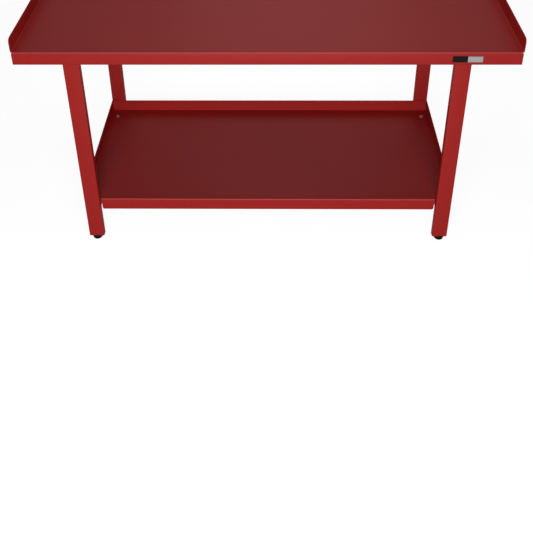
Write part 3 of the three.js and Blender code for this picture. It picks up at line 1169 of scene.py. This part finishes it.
@dataclass
class LevellingFoot:
    """A screw foot under one leg: a rubber sole, a hexagonal nylon base and a threaded stud."""

    corner: Corner
    rubber: Finish
    nylon: Finish
    zinc: Finish
    thread: Thread
    sides: int = 72
    flats: float = 37 * MM
    chamfer: float = 1.5 * MM
    chamfer_steps: int = 4
    dish: float = 2.5 * MM
    dish_floor: float = 1.5 * MM
    dish_depth: float = 1 * MM
    socket: float = 8 * MM
    sole_edge: float = 0.6 * MM
    sole_edge_steps: int = 3
    groove_shares: tuple[float, float] = (0.4, 0.7)
    groove_half: float = 1 * MM
    groove_floor_half: float = 0.6 * MM
    groove: float = 0.7 * MM

    def place(self, node: str) -> tuple[Matrix, float]:
        """Where a node of this foot stands, as a move from the origin, and its height."""
        low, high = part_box(node)
        return Matrix.Translation(((low.x + high.x) / 2, (low.y + high.y) / 2, low.z)), high.z - low.z

    def build_sole(self) -> Object:
        """Builds the rubber sole, with two rings cut in its tread.

        Returns:
            The sole.
        """
        node = self.corner.node("foot_sole")
        move, height = self.place(node)
        low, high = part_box(node)
        rim, edge, arc = (high.x - low.x) / 2, self.sole_edge, quarter(self.sole_edge_steps)
        wide, narrow = self.groove_half, self.groove_floor_half
        outline = [(0.0, 0.0)]
        for middle in (rim * share for share in self.groove_shares):
            for reach, rise in ((-wide, 0.0), (-narrow, self.groove), (narrow, self.groove), (wide, 0.0)):
                outline.append((middle + reach, rise))
        outline += [(rim - edge * cosine, edge * (1 - sine)) for sine, cosine in reversed(arc)]
        outline += [(rim - edge * (1 - cosine), height - edge * (1 - sine)) for sine, cosine in arc]
        outline.append((0.0, height))
        sole = keep_mesh(f"{node}_tread", turned(outline, self.sides), self.rubber.material)
        sole.data.transform(move)
        soften(sole)
        return seat(sole, self.corner.node("pad"), self.rubber, node)

    def build_base(self) -> None:
        """Builds the hexagonal base, dished round the stud."""
        node = self.corner.node("foot_base")
        move, height = self.place(node)
        reach, bore = self.flats / math.sqrt(3), self.thread.diameter / 2
        steps = even_steps(self.chamfer_steps)
        slope = [(reach - self.chamfer * (1 - share), self.chamfer * share) for share in steps]
        floor, end = height - self.dish_depth, height - self.socket
        outline = [(0.0, 0.0), *slope, *((radius, height - z) for radius, z in reversed(slope))]
        outline += [(bore + self.dish, height), (bore + self.dish_floor, floor), (bore, floor)]
        outline += [(bore, end), (0.0, end)]
        base = keep_mesh(f"{node}_hex", turned(outline, self.sides, self.flats), self.nylon.material)
        base.data.transform(move)
        soften(base)
        seat(base, self.corner.node("screw"), self.nylon, node)

    def build_stud(self) -> None:
        """Builds the threaded stud."""
        node = self.corner.node("foot_stud")
        move, height = self.place(node)
        stud = self.thread.add_rods(f"{node}_thread", [move.translation], height, self.zinc)
        seat(stud, self.corner.node("screw"), self.zinc, node)


@dataclass
class Badge:
    """The badge on the apron: a dark plate with a pale panel on its right half, both bare."""

    plate_corners: tuple[float, float] = (2 * MM, 2 * MM)
    panel_corners: tuple[float, float] = (0.0, 1 * MM)
    edge: float = 0.18 * MM
    corner_steps: int = 6

    def add_sheet(self, name: str, node: str, corners: tuple[float, float], finish: Finish) -> None:
        """Adds one of the badge's two sheets and seats it.

        Args:
            name: The piece's name.
            node: The node that it stands for.
            corners: The radius of its left and of its right corners.
            finish: What dresses it.
        """
        low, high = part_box(node)
        middle, half = (low + high) / 2, (high - low) / 2
        shape = bmesh.new()
        outline = []
        for right, up in ((1, -1), (1, 1), (-1, 1), (-1, -1)):
            radius = corners[right > 0]
            arc = quarter(self.corner_steps) if radius else quarter(1)[:1]
            for sine, cosine in arc if right * up < 0 else arc[::-1]:
                x = middle.x + right * (half.x - radius * (1 - sine))
                z = middle.z + up * (half.z - radius * (1 - cosine))
                outline.append(shape.verts.new((x, high.y, z)))
        back = shape.faces.new(outline)
        pushed = bmesh.ops.extrude_face_region(shape, geom=[back])
        front = [corner for corner in pushed["geom"] if isinstance(corner, BMVert)]
        bmesh.ops.translate(shape, verts=front, vec=(0, low.y - high.y, 0))
        bmesh.ops.recalc_face_normals(shape, faces=shape.faces)
        sheet = keep_mesh(name, shape, finish.material)
        break_edges(sheet, self.edge)
        seat(sheet, TABLE, finish, node)

    def build(self, dark: Finish, pale: Finish) -> None:
        """Builds the plate and the panel on it.

        Args:
            dark: What dresses the plate.
            pale: What dresses the panel.
        """
        self.add_sheet("badge_backing", "badge_plate", self.plate_corners, dark)
        self.add_sheet("badge_face", "badge_panel", self.panel_corners, pale)


@dataclass(frozen=True)
class SoftBox:
    """A soft box of the studio, which faces the table."""

    name: str
    place: tuple[float, float, float]
    size: tuple[float, float]
    power: float
    aim: tuple[float, float, float] = (0.0, 0.0, 0.6)

    def add(self) -> None:
        """Adds the lamp, which only its light shows."""
        lamp = bpy.data.lights.new(self.name, "AREA")
        lamp.shape = "RECTANGLE"
        lamp.size, lamp.size_y = self.size
        lamp.energy = self.power
        box = add_object(self.name, lamp)
        facing = (Vector(self.aim) - Vector(self.place)).to_track_quat("-Z", "Y").to_matrix().to_4x4()
        box.matrix_world = Matrix.Translation(self.place) @ facing
        box.visible_camera = False


@dataclass
class Studio:
    """The camera at the photograph's place, soft boxes, a white background and a pale floor."""

    eye: tuple[float, float, float] = (0.04466, -3.07183, 2.2665)
    yaw: float = math.radians(-0.998)
    pitch: float = math.radians(-34.629)
    roll: float = math.radians(-0.474)
    focal_px: float = 848.645
    centre_row: float = 158.364
    fill: float = 0.016
    floor_glow: float = 0.9
    floor_colour: str = "#A0A0A0"
    floor_side: float = 60.0
    boxes: tuple[SoftBox, ...] = (
        SoftBox("front_right_box", (0.5, -3.8, 2.13), (1.2, 0.9), 36.0),
        SoftBox("front_left_box", (-0.6, -3.8, 2.13), (1.2, 0.9), 36.0),
        SoftBox("front_low_box", (0.0, -3.8, 0.35), (1.2, 0.5), 41.0),
        SoftBox("overhead_box", (0.2, 0.0, 2.4), (1.0, 0.5), 5.0),
        SoftBox("rear_box", (0.1, 4.2, 2.75), (2.0, 1.5), 13.0),
        SoftBox("rear_low_box", (0.0, 3.4, 0.4), (1.4, 0.5), 22.0),
    )

    def add_camera(self) -> None:
        """Adds the camera, its lens and shift worked out from the photograph's frame."""
        level = Vector((math.cos(self.yaw), -math.sin(self.yaw), 0))
        ahead = Vector((math.sin(self.yaw), math.cos(self.yaw), 0))
        forward = math.cos(self.pitch) * ahead + Vector((0, 0, math.sin(self.pitch)))
        upright = level.cross(forward)
        right = math.cos(self.roll) * level + math.sin(self.roll) * upright
        up = math.cos(self.roll) * upright - math.sin(self.roll) * level
        lens = bpy.data.cameras.new("photo_camera")
        lens.sensor_width = SENSOR
        lens.lens = self.focal_px / PHOTO_SIDE * SENSOR
        lens.shift_y = (self.centre_row - PHOTO_SIDE / 2) / PHOTO_SIDE
        lens.clip_end = VIEW_END
        camera = add_object("photo_camera", lens)
        turn = Matrix((right, up, -forward)).transposed().to_4x4()
        camera.matrix_world = Matrix.Translation(self.eye) @ turn
        bpy.context.scene.camera = camera

    def seen(self, tree: NodeTree) -> Node:
        """Tells what is looked at from what only lights.

        Args:
            tree: The tree that takes the nodes.

        Returns:
            1 where the camera, a reflection or a view through something looks, and 0 for other light.
        """
        path = add_node(tree, "ShaderNodeLightPath").outputs
        either = path["Is Camera Ray"]
        for other in ("Is Glossy Ray", "Is Transmission Ray"):
            either = add_node(tree, "ShaderNodeMath", {"operation": "MAXIMUM"}, {0: either, 1: path[other]})
        return either

    def add_world(self) -> None:
        """Makes the world white to look at, and a weak even light otherwise."""
        world = bpy.data.worlds.new("studio")
        world.use_nodes = True
        bpy.context.scene.world = world
        tree = world.node_tree
        strength = add_node(
            tree, "ShaderNodeMapRange", inputs={"Value": self.seen(tree), "To Min": self.fill, "To Max": 1.0}
        )
        feed(tree.nodes["Background"], {"Color": linear(WHITE), "Strength": strength})

    def add_floor(self, soles: Sequence[Object]) -> None:
        """Adds the floor: white to look at, apart from the table's soft shadow.

        Args:
            soles: What stands on it. It stays under the lowest one.
        """
        shape = bmesh.new()
        bmesh.ops.create_grid(shape, x_segments=1, y_segments=1, size=self.floor_side / 2)
        material = bpy.data.materials.new("studio_floor")
        material.use_nodes = True
        tree = material.node_tree
        glow = add_node(
            tree, "ShaderNodeMath", {"operation": "MULTIPLY"}, {0: self.seen(tree), 1: self.floor_glow}
        )
        matt = {"Base Color": linear(self.floor_colour), "Roughness": 1.0, "Specular IOR Level": 0.0}
        light = {"Emission Color": linear(WHITE), "Emission Strength": glow}
        feed(tree.nodes["Principled BSDF"], {**matt, **light})
        floor = keep_mesh("studio_floor", shape, material)
        for sole in soles:
            below = floor.constraints.new("FLOOR")
            below.target = sole
            below.floor_location = "FLOOR_NEGATIVE_Z"

    def build(self, soles: Sequence[Object]) -> None:
        """Sets up the whole studio.

        Args:
            soles: What stands on its floor.
        """
        self.add_camera()
        self.add_world()
        self.add_floor(soles)
        for box in self.boxes:
            box.add()
        bpy.context.scene.view_settings.view_transform = "Standard"


def main() -> None:
    """Builds the table's sub-assemblies and the studio round the frame."""
    logging.basicConfig(level=logging.INFO, format="%(name)s: %(message)s")
    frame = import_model()

    coat, zinc = PowderCoat(), ZincPlate()
    leg_low, leg_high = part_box(Corner.FRONT_RIGHT.node("leg"))
    notch = (leg_low.x - NOTCH_PLAY, leg_high.x + NOTCH_PLAY)
    notches = (notch, (-notch[1], -notch[0]))
    apron = {"drop_half": 912 * MM, "hem": 14 * MM, "hem_gaps": notches}
    FoldedTray("top_sheet", "top_tray", coat, TOP_HEIGHT, **apron).build()
    front_lip = {"drop_half": 672.5 * MM, "drop_corner": 8 * MM}
    FoldedTray("shelf_sheet", "shelf_tray", coat, SHELF_HEIGHT, **front_lip).build()
    TubeFrame(coat).build()

    bolt_thread = Thread(diameter=8 * MM, pitch=1.25 * MM)
    foot_thread = Thread(diameter=10 * MM, pitch=1.5 * MM)
    Fasteners(zinc, bolt_thread, foot_thread).build()
    rubber, nylon = SoleRubber(), MouldedNylon()
    soles = []
    for corner in Corner:
        foot = LevellingFoot(corner, rubber, nylon, zinc, foot_thread)
        soles.append(foot.build_sole())
        foot.build_base()
        foot.build_stud()
        frame["nodes"][corner.node("foot_plate")].material_slots[0].material = coat.material

    Badge().build(BadgeLacquer(), BrushedAluminium())
    Studio().build(soles)


if __name__ == "__main__":
    main()
